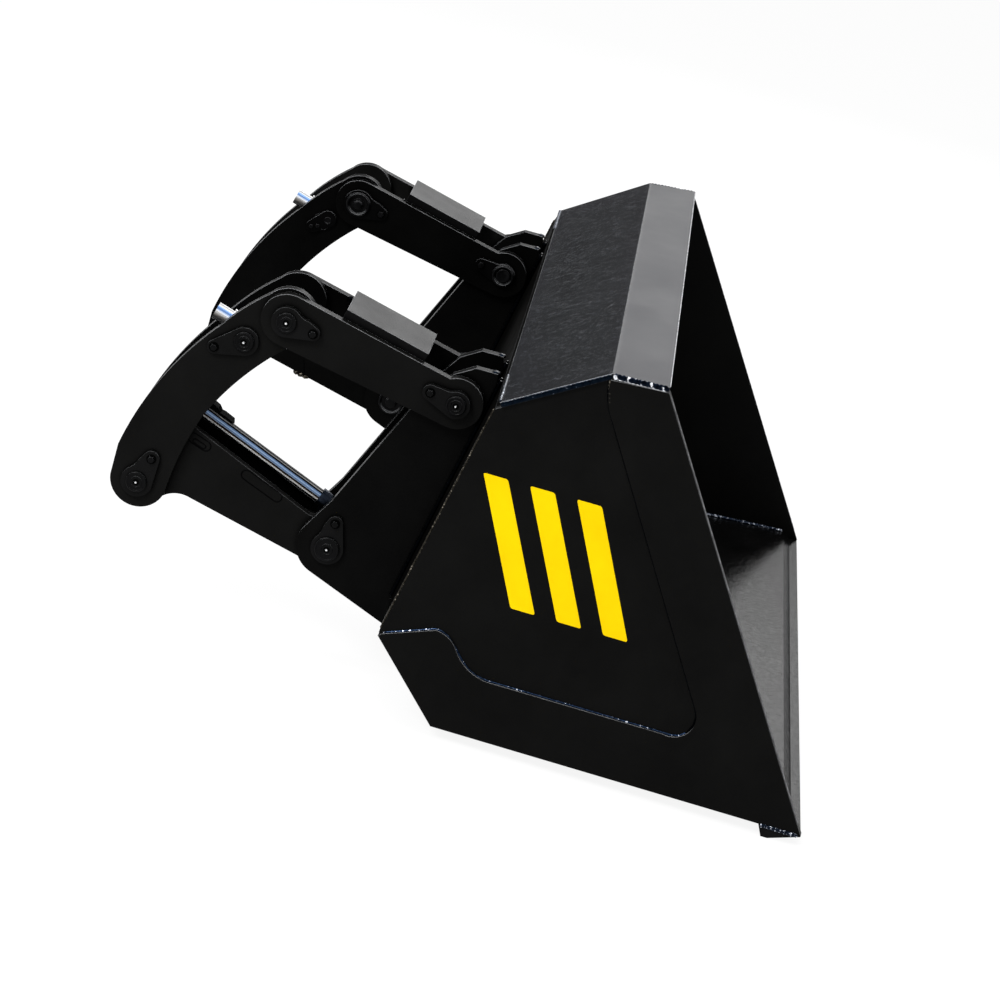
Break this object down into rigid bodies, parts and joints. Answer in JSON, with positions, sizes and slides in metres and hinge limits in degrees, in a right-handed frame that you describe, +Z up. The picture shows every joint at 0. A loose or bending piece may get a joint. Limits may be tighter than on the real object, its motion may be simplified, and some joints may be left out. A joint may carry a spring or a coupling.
{
  "type": "front loader bucket",
  "caption": "Wide steel loader bucket with toed-out side plates, pin brackets and the curved levers, upper links and arm noses that tilt it.",
  "frame": {"origin": "middle of the centre wear strip's underside, where the bucket rests on the ground", "axes": "+Z up, the mouth and lip towards -Y, the linkage towards +Y, the operator's right at -X"},
  "size_m": [1.9972, 1.7148, 0.943],
  "materials": {
    "black_paint": "semi-gloss black machine paint",
    "pin_paint": "black painted pin heads",
    "dark_steel": "blackened steel",
    "chrome_rod": "polished hard chrome"
  },
  "bodies": {
    "bucket": {"floor_plate": "black_paint", "heel_plate": "black_paint", "back_plate": "black_paint", "top_sheet": "black_paint", "cutting_edge": "black_paint", "side_plate_right": "black_paint", "side_plate_left": "black_paint", "side_wear_band_right": "black_paint", "side_wear_band_left": "black_paint", "wear_strip_right": "black_paint", "wear_strip_centre": "black_paint", "wear_strip_left": "black_paint", "bracket_plate_right_outer": "black_paint", "bracket_plate_right_inner": "black_paint", "bracket_plate_left_outer": "black_paint", "bracket_plate_left_inner": "black_paint", "lower_bracket_pin_right": "pin_paint", "lower_bracket_pin_left": "pin_paint"},
    "right_arm": {"arm_plate_right_outer": "black_paint", "arm_plate_right_inner": "black_paint", "arm_web_right": "black_paint", "level_rod_right": "chrome_rod", "level_rod_collar_right": "dark_steel", "level_rod_guide_right": "black_paint"},
    "right_link": {"link_plate_right_outer": "black_paint", "link_plate_right_inner": "black_paint", "link_box_right": "black_paint", "upper_bracket_pin_right": "pin_paint", "link_pin_right": "pin_paint", "upper_pin_retainer_right": "pin_paint", "link_pin_retainer_right": "pin_paint"},
    "right_lever": {"lever_plate_right_outer": "black_paint", "lever_plate_right_inner": "black_paint", "tilt_pin_right": "pin_paint", "arm_pin_right": "pin_paint", "tilt_pin_bar_right": "black_paint"},
    "right_tilt_rod": {"tilt_rod_right": "chrome_rod"},
    "left_arm": {"arm_plate_left_outer": "black_paint", "arm_plate_left_inner": "black_paint", "arm_web_left": "black_paint", "level_rod_left": "chrome_rod", "level_rod_collar_left": "dark_steel", "level_rod_guide_left": "black_paint"},
    "left_link": {"link_plate_left_outer": "black_paint", "link_plate_left_inner": "black_paint", "link_box_left": "black_paint", "upper_bracket_pin_left": "pin_paint", "link_pin_left": "pin_paint", "upper_pin_retainer_left": "pin_paint", "link_pin_retainer_left": "pin_paint"},
    "left_lever": {"lever_plate_left_outer": "black_paint", "lever_plate_left_inner": "black_paint", "tilt_pin_left": "pin_paint", "arm_pin_left": "pin_paint", "tilt_pin_bar_left": "black_paint"},
    "left_tilt_rod": {"tilt_rod_left": "chrome_rod"}
  },
  "joints": [
    {"name": "right_arm_pivot", "type": "hinge", "parent": "bucket", "child": "right_arm", "pos_m": [-0.5845, 0.489, 0.287], "axis": [1, 0, 0], "range_deg": [-30, 40]},
    {"name": "right_link_pivot", "type": "hinge", "parent": "bucket", "child": "right_link", "pos_m": [-0.5845, 0.277, 0.707], "axis": [1, 0, 0], "range_deg": [-32.5, 43]},
    {"name": "right_lever_pivot", "type": "hinge", "parent": "right_arm", "child": "right_lever", "pos_m": [-0.5845, 0.9495, 0.3325], "axis": [1, 0, 0], "range_deg": [-36.5, 27.5]},
    {"name": "right_tilt_rod_pivot", "type": "hinge", "parent": "right_lever", "child": "right_tilt_rod", "pos_m": [-0.5845, 0.775, 0.721], "axis": [1, 0, 0], "range_deg": [-27.5, 36.5]},
    {"name": "left_arm_pivot", "type": "hinge", "parent": "bucket", "child": "left_arm", "pos_m": [0.5845, 0.489, 0.287], "axis": [1, 0, 0], "range_deg": [-30, 40]},
    {"name": "left_link_pivot", "type": "hinge", "parent": "bucket", "child": "left_link", "pos_m": [0.5845, 0.277, 0.707], "axis": [1, 0, 0], "range_deg": [-32.5, 43]},
    {"name": "left_lever_pivot", "type": "hinge", "parent": "left_arm", "child": "left_lever", "pos_m": [0.5845, 0.9495, 0.3325], "axis": [1, 0, 0], "range_deg": [-36.5, 27.5]},
    {"name": "left_tilt_rod_pivot", "type": "hinge", "parent": "left_lever", "child": "left_tilt_rod", "pos_m": [0.5845, 0.775, 0.721], "axis": [1, 0, 0], "range_deg": [-27.5, 36.5]}
  ],
  "couplings": [
    {"joint": "right_link_pivot", "follows": "right_arm_pivot", "ratio": 1.0664},
    {"joint": "right_lever_pivot", "follows": "right_arm_pivot", "ratio": -0.8906},
    {"joint": "right_tilt_rod_pivot", "follows": "right_arm_pivot", "ratio": 0.8906},
    {"joint": "left_arm_pivot", "follows": "right_arm_pivot", "ratio": 1},
    {"joint": "left_link_pivot", "follows": "right_arm_pivot", "ratio": 1.0664},
    {"joint": "left_lever_pivot", "follows": "right_arm_pivot", "ratio": -0.8906},
    {"joint": "left_tilt_rod_pivot", "follows": "right_arm_pivot", "ratio": 0.8906}
  ]
}
